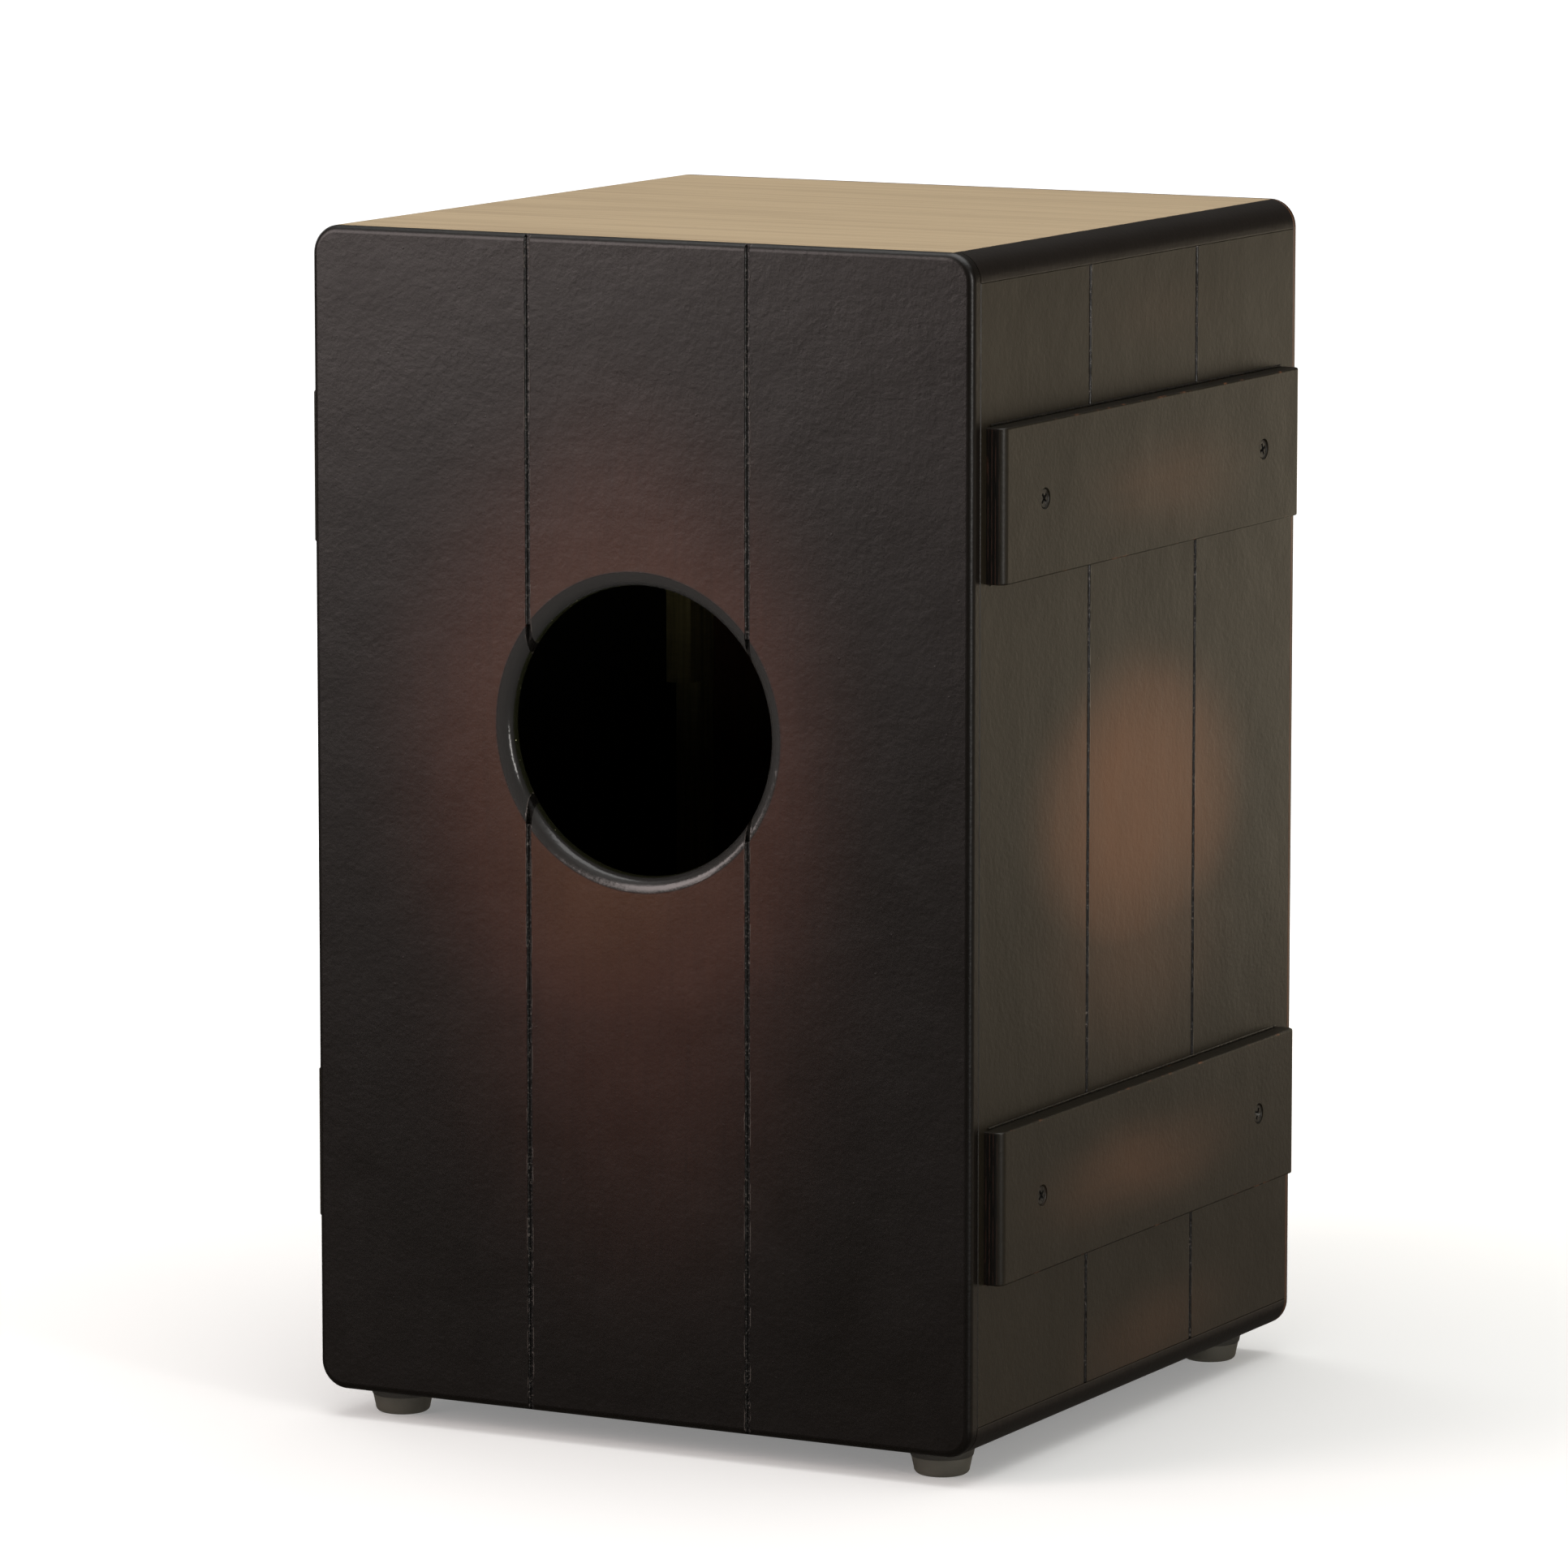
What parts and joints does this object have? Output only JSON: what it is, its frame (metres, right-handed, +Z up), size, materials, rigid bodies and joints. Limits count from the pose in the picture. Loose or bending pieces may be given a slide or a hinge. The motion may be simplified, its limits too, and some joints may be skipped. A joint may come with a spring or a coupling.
{
  "type": "cajon",
  "caption": "Crate-style wooden box drum with a round sound hole in the back, screwed battens across both sides, a bare wood seat and tapered rubber feet.",
  "frame": {"origin": "on the floor, under the middle of the drum", "axes": "+Z up to the seat, -Y towards the playing face, +Y towards the back panel with the sound hole"},
  "size_m": [0.316, 0.3, 0.492],
  "materials": {
    "seat_wood": "bare satin wood",
    "sunburst_lacquer": "satin dark lacquer with a brown burst",
    "batten_lacquer": "satin dark lacquer with a brown burst",
    "tapa_veneer": "satin dark veneer",
    "bare_wood": "raw sawn wood",
    "foot_rubber": "matte grey rubber",
    "black_screw_steel": "black oxide",
    "zinc_steel": "zinc plated",
    "snare_brass": "dull brass",
    "snare_steel": "spring wire",
    "felt": "felt"
  },
  "bodies": {
    "root": {"back_panel": "sunburst_lacquer", "batten_left_lower": "batten_lacquer", "batten_left_upper": "batten_lacquer", "batten_right_lower": "batten_lacquer", "batten_right_upper": "batten_lacquer", "batten_screws_left_lower": "black_screw_steel", "batten_screws_left_upper": "black_screw_steel", "batten_screws_right_lower": "black_screw_steel", "batten_screws_right_upper": "black_screw_steel", "bottom_panel": "sunburst_lacquer", "cleat_back_bottom": "bare_wood", "cleat_back_left": "bare_wood", "cleat_back_right": "bare_wood", "cleat_back_top": "bare_wood", "cleat_front_bottom": "bare_wood", "cleat_front_left": "bare_wood", "cleat_front_right": "bare_wood", "cleat_front_top": "bare_wood", "damper_pad_left": "felt", "damper_pad_right": "felt", "foot_back_left": "foot_rubber", "foot_back_right": "foot_rubber", "foot_front_left": "foot_rubber", "foot_front_right": "foot_rubber", "foot_screws": "zinc_steel", "foot_washers": "zinc_steel", "side_panel_left": "sunburst_lacquer", "side_panel_right": "sunburst_lacquer", "snare_bar": "bare_wood", "snare_block_left": "bare_wood", "snare_block_right": "bare_wood", "snare_end_plate_left": "snare_brass", "snare_end_plate_right": "snare_brass", "snare_end_strip_left": "snare_brass", "snare_end_strip_right": "snare_brass", "snare_joint_plate_left": "zinc_steel", "snare_joint_plate_right": "zinc_steel", "snare_joint_screws": "zinc_steel", "snare_plate_screws": "zinc_steel", "snare_wires_left": "snare_steel", "snare_wires_right": "snare_steel", "tapa": "tapa_veneer", "tapa_screws": "black_screw_steel", "top_panel": "seat_wood"}
  },
  "joints": []
}
